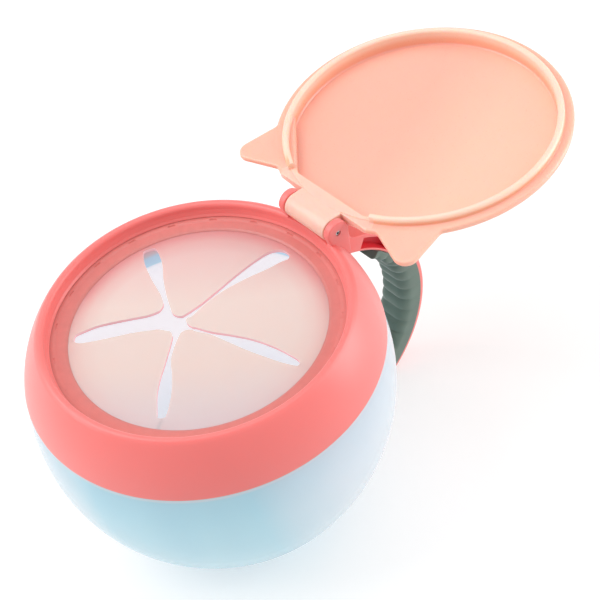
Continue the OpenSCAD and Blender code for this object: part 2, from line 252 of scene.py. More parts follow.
def rounded(corners, n=6, closed=True):
    """A polyline through (x, y, rounding) corners, each rounded by its own radius."""
    out = []
    count = len(corners)
    for i, (x, y, r) in enumerate(corners):
        if r <= 0 or (not closed and i in (0, count - 1)):
            out.append((x, y))
            continue
        p = Vector((x, y))
        a = Vector(corners[i - 1][:2]) - p
        b = Vector(corners[(i + 1) % count][:2]) - p
        half = a.angle(b) / 2
        reach = min(r / math.tan(half), a.length * 0.49, b.length * 0.49)
        r = reach * math.tan(half)
        centre = p + (a.normalized() + b.normalized()).normalized() * (r / math.sin(half))
        p0, p1 = p + a.normalized() * reach, p + b.normalized() * reach
        a0 = math.atan2(p0.y - centre.y, p0.x - centre.x)
        a1 = math.atan2(p1.y - centre.y, p1.x - centre.x)
        turn = (a1 - a0 + math.pi) % (2 * math.pi) - math.pi
        out += [
            (centre.x + r * math.cos(a0 + turn * k / n), centre.y + r * math.sin(a0 + turn * k / n))
            for k in range(n + 1)
        ]
    return out


def modifier(obj, kind, **values):
    """Adds a modifier with these values and applies it."""
    only(obj)
    mod = obj.modifiers.new(kind.title(), kind)
    for key, value in values.items():
        setattr(mod, key, value)
    bpy.ops.object.modifier_apply(modifier=mod.name)
    return obj


def soften(obj, width, angle=40, segments=3):
    """Rounds the edges that are sharper than angle."""
    return modifier(
        obj, "BEVEL", width=width * MM, segments=segments, limit_method="ANGLE",
        angle_limit=math.radians(angle), harden_normals=False, use_clamp_overlap=True
    )


def combine(obj, others, operation="UNION"):
    """Joins the others to obj, or cuts them from it, and removes them."""
    for other in others:
        modifier(obj, "BOOLEAN", operation=operation, object=other, solver="EXACT")
        mesh = other.data
        bpy.data.objects.remove(other)
        bpy.data.meshes.remove(mesh)
    only(obj)
    bpy.ops.object.mode_set(mode="EDIT")
    bpy.ops.mesh.select_all(action="SELECT")
    bpy.ops.mesh.remove_doubles(threshold=0.003 * MM)
    only(obj)


def bar(name, y, z, r, x0, x1, sides=48):
    """A round bar along X, from x0 to x1 (mm)."""
    return slab(name, arc(y, z, r, 0, 360 - 360 / sides, sides - 1), x0, x1, up="X")


def move_points(obj, change):
    """Moves each vertex of a soft piece by change(x, y, z), in mm."""
    for v in obj.data.vertices:
        x, y, z = v.co / MM
        v.co = Vector(change(x, y, z)) * MM
    obj.data.update()


def finish_piece(obj, body, nodes, materials):
    """Gives obj its materials, its body, and the nodes that it stands for."""
    obj.data.materials.clear()
    for m in materials:
        obj.data.materials.append(m)
    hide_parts(*nodes)
    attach(obj, body)


# ---------------------------------------------------------------- materials


def new_material(name):
    mat = bpy.data.materials.new(name)
    mat.use_nodes = True
    return mat, mat.node_tree, mat.node_tree.nodes["Principled BSDF"]


def put(shader, values):
    """Sets plain values on the shader's sockets."""
    for name, value in values.items():
        shader.inputs[name].default_value = value


def object_place(tree):
    return tree.nodes.new("ShaderNodeTexCoord").outputs["Object"]


def noise(tree, scale, detail=3.0, rough=0.5, stretch=None):
    tex = tree.nodes.new("ShaderNodeTexNoise")
    tex.inputs["Scale"].default_value = scale
    tex.inputs["Detail"].default_value = detail
    tex.inputs["Roughness"].default_value = rough
    place = object_place(tree)
    if stretch:
        mapping = tree.nodes.new("ShaderNodeMapping")
        mapping.inputs["Scale"].default_value = stretch
        tree.links.new(place, mapping.inputs["Vector"])
        place = mapping.outputs["Vector"]
    tree.links.new(place, tex.inputs["Vector"])
    return tex.outputs["Fac"]


def ramp(tree, source, stops):
    """Turns source (0..1) into the colours of the (position, colour) stops."""
    node = tree.nodes.new("ShaderNodeValToRGB")
    elements = node.color_ramp.elements
    while len(elements) < len(stops):
        elements.new(0.5)
    for element, (position, colour) in zip(elements, stops):
        element.position = position
        element.color = colour
    tree.links.new(source, node.inputs["Fac"])
    return node.outputs["Color"]


def grey(value):
    return (value, value, value, 1)


def shade(colour, k):
    return tuple(min(1.0, c * k) for c in colour[:3]) + (1.0,)


def paint(tree, shader, colour, socket="Base Color"):
    tree.links.new(colour, shader.inputs[socket])


def cloudy(tree, shader, source, dark, light, last=0.7):
    """Gives the shader a colour that wanders between dark and light."""
    paint(tree, shader, ramp(tree, source, [(0.3, dark), (last, light)]))


def satin(tree, shader, source, low, high):
    """Gives the shader a roughness that wanders between low and high."""
    paint(tree, shader, ramp(tree, source, [(0.3, grey(low)), (0.7, grey(high))]), "Roughness")


def grain(tree, shader, height, strength, distance):
    bump = tree.nodes.new("ShaderNodeBump")
    put(bump, {"Strength": strength, "Distance": distance})
    tree.links.new(height, bump.inputs["Height"])
    tree.links.new(bump.outputs["Normal"], shader.inputs["Normal"])


def scatter(shader, weight, radius, scale):
    put(shader, {"Subsurface Weight": weight, "Subsurface Radius": radius, "Subsurface Scale": scale})


def span(tree, value, low, high):
    """Maps value from low..high to 0..1."""
    node = tree.nodes.new("ShaderNodeMapRange")
    put(node, {"From Min": low, "From Max": high})
    tree.links.new(value, node.inputs["Value"])
    return node.outputs["Result"]


def distance(tree, direction):
    dot = tree.nodes.new("ShaderNodeVectorMath")
    dot.operation = "DOT_PRODUCT"
    dot.inputs[1].default_value = direction
    tree.links.new(object_place(tree), dot.inputs[0])
    return dot.outputs["Value"]


def along(tree, direction, low, high):
    """How far along direction a point lies, from low to high (metres), as 0..1."""
    return span(tree, distance(tree, direction), low, high)


def aside(tree, direction, low, high):
    """How far from the middle a point lies along direction, to either side, as 0..1."""
    size = tree.nodes.new("ShaderNodeMath")
    size.operation = "ABSOLUTE"
    tree.links.new(distance(tree, direction), size.inputs[0])
    return span(tree, size.outputs["Value"], low, high)


def from_axis(tree, low, high):
    """How far from the upright axis a point lies, from low to high, as 0..1."""
    flat = tree.nodes.new("ShaderNodeVectorMath")
    flat.operation = "MULTIPLY"
    flat.inputs[1].default_value = (1, 1, 0)
    tree.links.new(object_place(tree), flat.inputs[0])
    length = tree.nodes.new("ShaderNodeVectorMath")
    length.operation = "LENGTH"
    tree.links.new(flat.outputs["Vector"], length.inputs[0])
    return span(tree, length.outputs["Value"], low, high)


def mixed(tree, factor, a, b, mode="MIX"):
    """Mixes colour a with colour b; each value is a socket or a plain value."""
    node = tree.nodes.new("ShaderNodeMix")
    node.data_type, node.blend_type = "RGBA", mode
    for name, value in (("Factor", factor), ("A", a), ("B", b)):
        if isinstance(value, bpy.types.NodeSocket):
            tree.links.new(value, node.inputs[name])
        else:
            node.inputs[name].default_value = value
    return node.outputs["Result"]


UPRIGHT = (0, 0, 1)


def coral_plastic():
    """Moulded coral plastic with a satin surface and a faint cloudiness."""
    colour = bpy.context.scene.cup_colours.coral
    mat, tree, shader = new_material("coral_plastic")
    cloudy(tree, shader, noise(tree, 26, 2), shade(colour, 0.965), shade(colour, 1.035))
    fine = noise(tree, 2600, 2)
    satin(tree, shader, fine, 0.33, 0.41)
    grain(tree, shader, fine, 0.05, 0.00003)
    put(shader, {"IOR": 1.5, "Sheen Weight": 0.22, "Sheen Roughness": 0.45})
    scatter(shader, 0.25, (1.0, 0.35, 0.3), 0.003)
    return mat


def coral_skirt():
    """Inside of the collar's skirt, with painted light: a glowing colour, whitish and blue at its lower end and
    dark red above, that stands in for the bowl's light seen through the slits.
    """
    mat, tree, shader = new_material("coral_skirt_painted_glow")
    # painted light: whitish low down, then blue, then dark red above; the colour also glows
    tint = ramp(tree, along(tree, UPRIGHT, 0.0515, 0.0615), [
        (0.0, (0.88, 0.90, 0.92, 1)), (0.20, (0.84, 0.88, 0.91, 1)), (0.27, (0.45, 0.66, 0.80, 1)),
        (0.55, (0.42, 0.58, 0.70, 1)), (0.66, (0.52, 0.46, 0.50, 1)), (1.0, (0.60, 0.16, 0.16, 1)),
    ])
    paint(tree, shader, tint)
    paint(tree, shader, tint, "Emission Color")
    put(shader, {"Emission Strength": 0.36, "Roughness": 0.4})
    return mat


def pocket_painted_shade():
    """The same plastic inside the handle's deep pockets, darkened to a deep red as painted shade."""
    mat, tree, shader = new_material("coral_pocket_painted_shade")
    cloudy(tree, shader, noise(tree, 60, 2), (0.76, 0.045, 0.065, 1), (0.84, 0.06, 0.08, 1))
    put(shader, {"Roughness": 0.42})
    return mat


def milky_blue():
    """Translucent light-blue plastic, milky, with a smooth outside, and painted shade and reflections on it."""
    colour = bpy.context.scene.cup_colours.blue
    mat, tree, shader = new_material("milky_blue_plastic")
    # painted light: deeper, darker blue towards the foot as painted shade, and a pale painted highlight just
    # under the collar
    tint = ramp(tree, along(tree, UPRIGHT, 0.0, 0.060), [
        (0.0, (0.13, 0.56, 0.77, 1)), (0.3, shade(colour, 0.97)), (0.8, shade(colour, 1.02)),
        (0.976, shade(colour, 1.04)), (0.984, (0.70, 0.80, 0.84, 1)),
    ])
    # faint upright bands
    streaks = noise(tree, 45, 1, stretch=(1, 1, 0.08))
    bands = ramp(tree, streaks, [(0.36, (0.90, 0.93, 0.955, 1)), (0.62, (1, 1, 1, 1))])
    # painted reflection: the two cheeks are painted paler and more lavender than the middle
    painted_cheek_reflection = ramp(tree, aside(tree, (0.66, 0.75, 0.12), 0.020, 0.040), [
        (0.0, grey(0)), (0.35, grey(0.45)), (1.0, grey(0.85))])
    banded = mixed(tree, 1.0, tint, bands, "MULTIPLY")
    paint(tree, shader, mixed(tree, painted_cheek_reflection, banded, (0.68, 0.71, 0.77, 1)))
    satin(tree, shader, noise(tree, 40, 3), 0.15, 0.22)
    put(shader, {"IOR": 1.46, "Coat Weight": 0.12, "Coat Roughness": 0.12, "Transmission Weight": 0.25})
    scatter(shader, 0.35, (0.6, 0.9, 1.0), 0.006)
    return mat


def milky_blue_inside_painted_glow():
    """Inside of the bowl, painted and made to glow: a pale colour, darker at the floor and bluer near the top,
    stands in for the light that comes through the wall.
    """
    mat, tree, shader = new_material("milky_blue_inside_painted_glow")
    tint = ramp(tree, along(tree, UPRIGHT, 0.002, 0.056), [
        (0.0, (0.66, 0.75, 0.80, 1)), (0.16, (0.76, 0.83, 0.87, 1)), (0.36, (0.90, 0.915, 0.92, 1)),
        (0.8, (0.88, 0.91, 0.93, 1)), (1.0, (0.50, 0.70, 0.82, 1)),
    ])
    paint(tree, shader, tint)
    paint(tree, shader, tint, "Emission Color")
    put(shader, {"Emission Strength": 0.36, "Roughness": 0.3})
    return mat


def peach_plastic(name="peach_plastic", level=(1.0, 1.0, 1.0), glow=0.0):
    """Peach plastic of the lid: satin, with light scattered inside it."""
    colour = bpy.context.scene.cup_colours.peach
    colour = [c * k for c, k in zip(colour[:3], level)]
    mat, tree, shader = new_material(name)
    cloudy(tree, shader, noise(tree, 22, 2), shade(colour, 0.97), shade(colour, 1.03))
    fine = noise(tree, 2200, 2)
    satin(tree, shader, fine, 0.27, 0.34)
    grain(tree, shader, fine, 0.04, 0.00003)
    put(shader, {"IOR": 1.5})
    scatter(shader, 0.45, (1.0, 0.5, 0.3), 0.004)
    # painted glow: where glow is set, the plastic also shines in its own colour
    if glow:
        put(shader, {"Emission Color": tuple(colour) + (1,), "Emission Strength": glow})
    return mat


def peach_bead(name, stops):
    """The bead's crest with a painted highlight in cream, running into painted shade of deeper peach down its
    sides, with a faint painted glow.
    """
    mat = peach_plastic(name, glow=0.03)
    tree = mat.node_tree
    # the closed lid's upright, laid open
    lean = math.radians(LID_OPEN)
    depth = along(tree, (0, math.sin(lean), math.cos(lean)), -0.0791, -0.0741)
    paint(tree, tree.nodes["Principled BSDF"], ramp(tree, depth, stops))
    return mat


def peach_panel():
    """The lid's thin panel: pinker where the light falls off, creamier on its bright side."""
    mat = peach_plastic("peach_panel")
    tree = mat.node_tree
    paint(tree, tree.nodes["Principled BSDF"], ramp(tree, along(tree, (0.93, 0.30, 0.2), 0.0, 0.075), [
        (0.0, (0.90, 0.455, 0.355, 1)), (0.45, (0.895, 0.46, 0.36, 1)), (0.75, (0.93, 0.55, 0.42, 1)),
        (1.0, (0.94, 0.57, 0.43, 1)),
    ]))
    return mat


def grip_rubber():
    """Dark green soft rubber with a fine matt grain."""
    colour = bpy.context.scene.cup_colours.green
    mat, tree, shader = new_material("green_soft_rubber")
    cloudy(tree, shader, noise(tree, 90, 3), shade(colour, 0.9), shade(colour, 1.1), 0.72)
    fine = noise(tree, 3200, 3)
    satin(tree, shader, fine, 0.5, 0.62)
    grain(tree, shader, fine, 0.12, 0.00004)
    put(shader, {"Sheen Weight": 0.25, "Sheen Roughness": 0.5})
    return mat


def rolled_steel():
    mat, tree, shader = new_material("rolled_steel")
    satin(tree, shader, noise(tree, 3000, 2, stretch=(0.1, 1, 1)), 0.25, 0.4)
    put(shader, {"Base Color": (0.62, 0.6, 0.6, 1), "Metallic": 1.0})
    return mat


def flap_skin():
    """Soft skin of the flap: blush, with a painted coral glow at its far edge that stands in for light through
    the skin.
    """
    colour = bpy.context.scene.cup_colours.blush
    mat, tree, shader = new_material("blush_soft_skin")
    far = (-0.74, 0.67, 0)
    # painted light and shade: paler and cooler towards the front
    painted_light_field = ramp(tree, along(tree, far, -0.034, 0.034), [
        (0.0, (0.55, 0.50, 0.52, 1)), (0.3, shade(colour, 0.95)), (0.62, colour[:]),
        (0.85, (0.69, 0.49, 0.47, 1)), (1.0, (0.66, 0.42, 0.41, 1)),
    ])
    # painted light: a coral glow towards the far edge
    edge = ramp(tree, from_axis(tree, 0.0265, 0.0343), [(0.0, grey(0)), (0.5, grey(0.28)), (1.0, grey(1))])
    side = ramp(tree, along(tree, far, -0.03, 0.03), [(0.0, grey(0.10)), (0.45, grey(0.35)), (0.75, grey(1))])
    both = tree.nodes.new("ShaderNodeMath")
    both.operation = "MULTIPLY"
    tree.links.new(edge, both.inputs[0])
    tree.links.new(side, both.inputs[1])
    paint(tree, shader, mixed(tree, both.outputs["Value"], painted_light_field, (0.64, 0.24, 0.24, 1)))
    fine = noise(tree, 1800, 2)
    satin(tree, shader, fine, 0.42, 0.52)
    grain(tree, shader, fine, 0.06, 0.00003)
    scatter(shader, 0.5, (1.0, 0.6, 0.55), 0.003)
    return mat


def flap_cut():
    """The cut sides of the slits, pinker than the skin, with a faint painted glow that lifts them out of their
    shade.
    """
    mat, tree, shader = new_material("blush_cut_side")
    cloudy(tree, shader, noise(tree, 200, 2), (0.78, 0.46, 0.49, 1), (0.84, 0.54, 0.57, 1))
    put(shader, {"Emission Color": (0.85, 0.45, 0.46, 1), "Emission Strength": 0.16, "Roughness": 0.5})
    return mat


def frame_plastic():
    """Coral plastic of the flap's ring, a little duller than the collar's."""
    colour = (0.69, 0.20, 0.18)
    mat, tree, shader = new_material("coral_ring_plastic")
    cloudy(tree, shader, noise(tree, 420, 3, 0.6), shade(colour, 0.97), shade(colour, 1.04))
    put(shader, {"Roughness": 0.36})
    scatter(shader, 0.25, (1.0, 0.35, 0.3), 0.003)
    return mat


def white_paper():
    """The floor, bright enough for the soft shadows to stay pale."""
    mat, tree, shader = new_material("white_paper")
    cloudy(tree, shader, noise(tree, 900, 2), grey(0.52), grey(0.54))
    put(shader, {
        "Roughness": 0.9, "Specular IOR Level": 0.1, "Emission Color": (1, 1, 1, 1), "Emission Strength": 0.50})
    return mat


# ---------------------------------------------------------------- pieces


def locking_lugs(name, inner, outer, half, low, high):
    """Four lugs between two radii, half degrees to each side, that climb as they go round."""
    slope = math.tan(math.radians(3.3))
    lugs = []
    for turn in (0, 90, 180, 270):
        start, end = turn - half, turn + half
        outline = arc(0, 0, inner, start, end, 10) + arc(0, 0, outer, end, start, 10)
        lug = slab(name, outline, low, high)
        c, s = math.cos(math.radians(turn)), math.sin(math.radians(turn))
        move_points(lug, lambda x, y, z, c=c, s=s: (x, y, z + slope * (y * c - x * s)))
        lugs.append(lug)
    return lugs


class AddBowl(bpy.types.Operator):
    """Adds the translucent bowl with its standing ring and locking lugs"""

    bl_idname = "snack_cup.add_bowl"
    bl_label = "Bowl"

    def execute(self, context):
        in_arc = BOWL_ARC - context.scene.cup_sizes.wall / MM
        top, foot_z, floor_z = 59.8, 2.0, 2.6

        def angle_at(z, r):
            return math.degrees(math.asin((z - BOWL_CENTRE[1]) / r))

        high = angle_at(top, BOWL_ARC)
        side = arc(*BOWL_CENTRE, BOWL_ARC, angle_at(foot_z, BOWL_ARC), high, 44)
        inside = arc(*BOWL_CENTRE, in_arc, high + 0.4, angle_at(floor_z, in_arc), 44)
        foot = rounded(
            [(0, 0.7, 0), (21.0, 0.7, 0.6), (21.9, 0.0, 0.5), (24.8, 0.0, 1.6), side[0] + (0,)], 5, closed=False
        )
        lip = rounded(
            [side[-1] + (0,), (side[-1][0] - 0.1, top, 0), (inside[0][0], top, 0.5), inside[1] + (0,)],
            4, closed=False
        )
        obj = lathe("bowl_shell", foot + side[1:] + lip[1:-1] + inside[1:] + [(0, 2.4)])
        combine(obj, locking_lugs("bowl_lug", 44.5, 47.2, 14.6, 54.65, 56.15))
        smooth(obj, 40)
        finish_piece(obj, "bowl", ["bowl"], [milky_blue(), milky_blue_inside_painted_glow()])
        # the inside faces get the material with the painted glow
        for face in obj.data.polygons:
            c, n = face.center / MM, face.normal
            if 2.2 < c.z < 59.4 and c.x * n.x + c.y * n.y + (c.z - BOWL_CENTRE[1]) * n.z < 0:
                face.material_index = 1
        return {"FINISHED"}


class AddCollar(bpy.types.Operator):
    """Adds the coral collar with its rolled rim, hinge lugs, saddle and locking lugs"""

    bl_idname = "snack_cup.add_collar"
    bl_label = "Collar"

    def execute(self, context):
        rim = context.scene.cup_sizes.rim_round / MM
        top = RIM - rim
        # the bulging side runs smoothly into the rolled rim
        side = arc(*COLLAR_CENTRE, COLLAR_ARC, 13.9, 37.4, 26)
        rim_arc = arc(MOUTH_R + rim, top, rim, 44, 180, 18)
        inner_wall = rounded([
            (MOUTH_R, top, 0), (MOUTH_R, 72.2, 0.5), (39.2, 70.85, 0.3), (38.75, 70.3, 0.2),
            (38.75, 70.12, 0.03), (SEAT_R, SEAT_Z, 0), (SEAT_R, 68.5, 0.2), (SKIRT_IN, 68.5, 0),
            (SKIRT_IN, 51.6, 0.3), (SKIRT_OUT, 51.4, 0.3), (SKIRT_OUT, 64.4, 0.3), (44.95, 64.0, 0),
        ], 3, closed=False)
        lower_edge = [(44.95, 64.0), (45.7, 61.0), (46.3, 60.1), (47.8, SEAM), (48.2, SEAM + 0.04)]
        obj = lathe("collar_shell", lower_edge + side + rim_arc + inner_wall[1:])
        lugs = []
        for x0 in (LUG_X, -LUG_X - LUG_W):
            outline = arc(HINGE_Y, HINGE_Z, LUG_R, 0, 180, 24) + [(39.3, 73.0), (39.9, 68.0), (45.0, 68.0)]
            lugs.append(soften(slab("hinge_lug", outline, x0, x0 + LUG_W, up="X"), 0.32, 50, 3))
        combine(obj, lugs)
        saddle_z = 73.55
        round_pin = arc(HINGE_Y, HINGE_Z, LUG_R + 0.25, -84, 60, 20)
        outline = [(30, saddle_z), (HINGE_Y, saddle_z)] + round_pin + [(30, 82.5)]
        saddle = slab("saddle_cut", outline, -LUG_X, LUG_X, up="X")
        bore = bar("pin_bore", HINGE_Y, HINGE_Z, 0.86, -14, 14, 32)
        combine(obj, [saddle, bore], "DIFFERENCE")
        combine(obj, locking_lugs("collar_lock", 43.3, 45.5, 14.3, 52.85, 54.35))
        smooth(obj, 40)
        finish_piece(obj, "collar", ["collar"], [coral_plastic(), coral_skirt()])
        # the inside of the skirt gets the material with the painted glow
        for face in obj.data.polygons:
            c = face.center / MM
            if math.hypot(c.x, c.y) < 43.4 and SKIRT_LOW < c.z < 68.3 and abs(face.normal.z) < 0.5:
                face.material_index = 1
        return {"FINISHED"}


def handle_arc(r, start, end, n=1):
    return arc(HANDLE_Y, HANDLE_Z, r, start, end, n)


class AddHandleFrame(bpy.types.Operator):
    """Adds the coral frame of the handle: strap, web, side pockets and root"""

    bl_idname = "snack_cup.add_handle_frame"
    bl_label = "Handle frame"

    def execute(self, context):
        half_w, half_web = 5.2, 1.5
        end, root_out, root_in = -52, 63, 72  # degrees round the curve
        stop_y, stop_top = 45.25, 75.15
        pocket_in, pocket_out, pocket_start, pocket_end = 32.7, 36.2, 38, 62

        def ring(r0, r1, start, stop, n):
            return handle_arc(r1, start, stop, n) + handle_arc(r0, stop, start, n)

        # side view: the outer curve up to the root, round the lid's stop, and back inside
        outline = (
            handle_arc(STRAP_OUT, end, root_out, 90)
            + rounded([
                handle_arc(STRAP_OUT, root_out, root_out)[0] + (0,), (49.2, 66.6, 1.4), (47.75, stop_top, 0.8),
                (stop_y, stop_top, 0.4), (stop_y, 63.0, 0), handle_arc(STRAP_IN, root_in, root_in)[0] + (0,),
            ], 5, closed=False)[1:-1]
            + handle_arc(STRAP_IN, root_in, end, 90)
        )
        block = slab("handle_strap", outline, -half_w, half_w, up="X")
        soften(block, 0.55, 50, 4)
        pocket = ring(pocket_in, pocket_out, pocket_start, pocket_end, 24)
        grip_room = ring(30.2, 36.1, -56, 35.3, 70)
        cuts = []
        for x0, x1 in ((half_web, 8.0), (-8.0, -half_web)):
            cuts += [slab("pocket", pocket, x0, x1, up="X"), slab("grip_room", grip_room, x0, x1, up="X")]
        # the collar's own shape is cut away, so that the frame meets it all over
        cuts.append(lathe(
            "collar_cut",
            [(0, 50), (48.3, 50), (48.36, SEAM)] + arc(*COLLAR_CENTRE, COLLAR_ARC + 0.02, 14.2, 37.6, 16)
            + [(41.0, 74.1), (40.6, RIM), (0, RIM), (0, 50)],
            160
        ))
        combine(block, cuts, "DIFFERENCE")
        smooth(block, 40)
        finish_piece(block, "collar", ["handle_frame"], [coral_plastic(), pocket_painted_shade()])
        # faces inside the pockets get the deep red painted shade
        for face in block.data.polygons:
            c = face.center / MM
            r = math.hypot(c.y - HANDLE_Y, c.z - HANDLE_Z)
            a = math.degrees(math.atan2(c.z - HANDLE_Z, c.y - HANDLE_Y))
            near = pocket_start - 0.1 < a < pocket_end + 0.1 and pocket_in - 0.1 < r < pocket_out + 0.1
            if near and abs(c.x) < half_w - 0.3:
                face.material_index = 1
        return {"FINISHED"}


class AddGrip(bpy.types.Operator):
    """Adds the soft ribbed grip round the inside and sides of the handle"""

    bl_idname = "snack_cup.add_grip"
    bl_label = "Grip"

    def execute(self, context):
        sizes = context.scene.cup_sizes
        depth = sizes.rib_depth / MM
        half_w = 5.6

        def close_up(points):
            dense = []
            for a, b in zip(points, points[1:] + points[:1]):
                n = max(1, int(math.hypot(b[0] - a[0], b[1] - a[1]) / 0.8))
                dense += [(a[0] + (b[0] - a[0]) * i / n, a[1] + (b[1] - a[1]) * i / n) for i in range(n)]
            return dense


        def section(out_r, corner):
            return close_up(rounded([
                (GRIP_IN, -half_w, 3.4), (out_r, -half_w, corner),
                (out_r, half_w, corner), (GRIP_IN, half_w, 3.4),
            ], 12))

        obj = curl("grip_sleeve", section(GRIP_OUT, 0.35), -56.5, 35, 150)
        soften(obj, 1.2, 60, 5)
        upper = curl("grip_top", section(STRAP_IN - 0.05, 0.1), 31, 48.5, 36)
        soften(upper, 0.5, 60, 3)
        combine(obj, [upper])
        first, last = -47.0, 46.0
        step = (last - first) / sizes.ribs

        def ribbed(x, y, z):
            dy, dz = y - HANDLE_Y, z - HANDLE_Z
            r = math.hypot(dy, dz)
            a = math.degrees(math.atan2(dz, dy))
            # the ribs fade out towards the outer side and at both ends
            side = clamp((r - GRIP_IN) / 6.4)
            fade = (1 - side) ** 1.5
            ends = clamp((a - first) / 3.0) * clamp((last + 1.5 - a) / 3.0)
            wave = abs(math.sin(math.pi * (a - first) / step)) ** 0.85
            dip = depth * (1 - wave) * fade * ends
            k = (r + dip) / r
            pinch = 1 - 0.35 * dip / half_w
            return x * pinch, HANDLE_Y + dy * k, HANDLE_Z + dz * k

        move_points(obj, ribbed)
        smooth(obj, 50)
        finish_piece(obj, "collar", ["handle_grip"], [grip_rubber()])
        return {"FINISHED"}


class AddHingePin(bpy.types.Operator):
    """Adds the coiled steel pin of the hinge"""

    bl_idname = "snack_cup.add_hinge_pin"
    bl_label = "Hinge pin"

    def execute(self, context):
        radius, sheet, half = 0.80, 0.17, 9.85
        turns = [(radius - 0.34 * i / 60, math.radians(20 + 560 * i / 60)) for i in range(61)]

        def coil(inset):
            return [(HINGE_Y + (r - inset) * math.cos(a), HINGE_Z + (r - inset) * math.sin(a))
                    for r, a in turns]

        obj = slab("hinge_pin_coil", coil(0) + coil(sheet)[::-1], -half, half, up="X")
        smooth(obj, 30)
        finish_piece(obj, "collar", ["hinge_pin"], [rolled_steel()])
        return {"FINISHED"}


class AddLid(bpy.types.Operator):
    """Adds the lid with its bead, domed panel, ears and hinge barrel, lying open"""

    bl_idname = "snack_cup.add_lid"
    bl_label = "Lid"

    def execute(self, context):
        bead = context.scene.cup_sizes.bead / MM
        under = RIM + 0.3  # the flange's underside when closed
        thick = 1.8
        edge = 41.3
        bead_out, bead_low, bead_gap = 38.8, 72.5, 25.5
        panel_r = bead_out - bead
        panel_edge = under + 3.0
        rise = 3.5
        dome_r = (panel_r ** 2 + rise ** 2) / (2 * rise)
        dome_z = panel_edge + rise - dome_r
        # inside, the dish starts a little way in from the bead
        dish_edge, dish_h = 32.6, 0.3
        dish_r = (dish_edge ** 2 + (rise - dish_h) ** 2) / (2 * (rise - dish_h))
        inner = []
        for i in range(22):
            r = dish_edge * i / 22
            inner.append((r, panel_edge + rise - dish_r + math.sqrt(dish_r ** 2 - r ** 2)))
        inner += [(dish_edge + 0.2, panel_edge + dish_h - 0.01), (34.5, panel_edge + 0.16),
                  (panel_r - 0.35, panel_edge + 0.03)]
        crown = []
        for i in range(25):
            r = (bead_out - 0.1 + 0.3) * (24 - i) / 24
            crown.append((r, dome_z + math.sqrt((dome_r + thick) ** 2 - r * r)))
        rim = rounded([
            inner[-1] + (0,), (panel_r, panel_edge - 0.35, 0.5), (panel_r, bead_low, bead / 2 - 0.02),
            (bead_out, bead_low, bead / 2 - 0.02), (bead_out, under, 0.35), (edge, under, 0.75),
            (edge, under + thick, 0.9), (crown[0][0] + 0.9, under + thick, 1.2), crown[1] + (0,),
        ], 7, closed=False)
        obj = lathe("lid_shell", inner + rim[1:-1] + crown[1:])
        land_y = 34.7
        # the bead stops beside the land
        wedge = [(0, 5)] + arc(0, 0, 60, 90 - bead_gap, 90 + bead_gap, 4)
        combine(obj, [slab("bead_stop", wedge, 60, under)], "DIFFERENCE")
        # land between the straight edge of the panel and the hinge
        land_r = 38.2
        corner = math.degrees(math.asin(land_y / land_r))
        land = slab("land", arc(0, 0, land_r, corner, 180 - corner, 24), under - 0.25, panel_edge + 0.6)
        parts = [soften(land, 0.2, 60, 3)]
        outline = rounded([
            (35.0, 12.0, 0), (38.4, 14.8, 0), (40.3, 8.4, 3.0), (54.69, 0.0, 3.5),
            (40.3, -8.4, 3.0), (38.4, -14.8, 0), (35.0, -12.0, 0),
        ], 10)
        for angle in (50, 130):
            ear = slab("ear", turned(outline, angle), under + 0.02, under + thick - 0.02)
            parts.append(soften(ear, 0.62, 60, 4))
        # knuckle: barrel and arm in one smooth piece
        arm = [(HINGE_Y - 1.2, HINGE_Z + 3.36), (37.6, HINGE_Z + 1.3), (34.9, HINGE_Z + 0.6),
               (34.9, under + 0.03), (36.8, under - 0.02), (39.2, under - 0.42)]
        half = LUG_X - 0.3
        knuckle = slab("knuckle", arc(HINGE_Y, HINGE_Z, 3.45, -100, 90, 30) + arm, -half, half, up="X")
        parts.append(soften(knuckle, 0.3, 55, 3))
        combine(obj, parts)
        room_y = HINGE_Y - 3.8
        cuts = [slab("lug_room", [(x0, room_y), (x0 + 9.5, room_y), (x0 + 9.5, 60), (x0, 60)], 64, 90)
                for x0 in (half, -half - 9.5)]
        cuts.append(bar("pin_room", HINGE_Y, HINGE_Z, 0.87, -12, 12, 32))
        combine(obj, cuts, "DIFFERENCE")

        # the bead's left end runs out into the flange
        def run_out(x, y, z):
            r, a = math.hypot(x, y), math.degrees(math.atan2(-x, y))
            if 36.6 < r < 39.0 and z < under - 0.06 and 25.0 < a < 36.0:
                t = clamp((35.0 - a) / 9.5)
                z += (under - 0.06 - z) * t * t * (3 - 2 * t)
            return x, y, z

        move_points(obj, run_out)
        # painted light on the lid: the bead's crest a cream painted highlight, its walls an orange painted
        # shade, and the land painted lighter as a painted highlight
        finish_piece(obj, "lid", ["lid"], [
            peach_plastic(), peach_panel(),
            peach_bead("peach_bead", [
                (0.0, (0.93, 0.64, 0.53, 1)), (0.34, (0.93, 0.62, 0.49, 1)), (0.62, (0.90, 0.47, 0.31, 1)),
                (0.85, (0.90, 0.42, 0.28, 1)), (1.0, (0.90, 0.45, 0.34, 1))]),
            peach_bead("peach_bead_out_painted_light_and_shade", [
                (0.0, (0.93, 0.64, 0.53, 1)), (0.16, (0.92, 0.60, 0.46, 1)), (0.30, (0.88, 0.44, 0.27, 1)),
                (1.0, (0.88, 0.44, 0.30, 1))]),
            peach_plastic("peach_land_painted_highlight", (1.0, 1.15, 1.22))])
        for face in obj.data.polygons:
            c, n = face.center / MM, face.normal
            r = math.hypot(c.x, c.y)
            if r < panel_r + 0.3 and c.z > under + 0.1 and n.z < -0.5:
                face.material_index = 1
            elif panel_r - 0.3 < r < bead_out + 0.1 and c.z < panel_edge and c.y < land_y:
                face.material_index = 2 if r < panel_r + bead / 2 else 3
            elif abs(c.x) < 17 and c.y > land_y - 0.5 and r < 50:
                face.material_index = 4
        # lay it open
        turn = -math.radians(LID_OPEN)
        c, s = math.cos(turn), math.sin(turn)

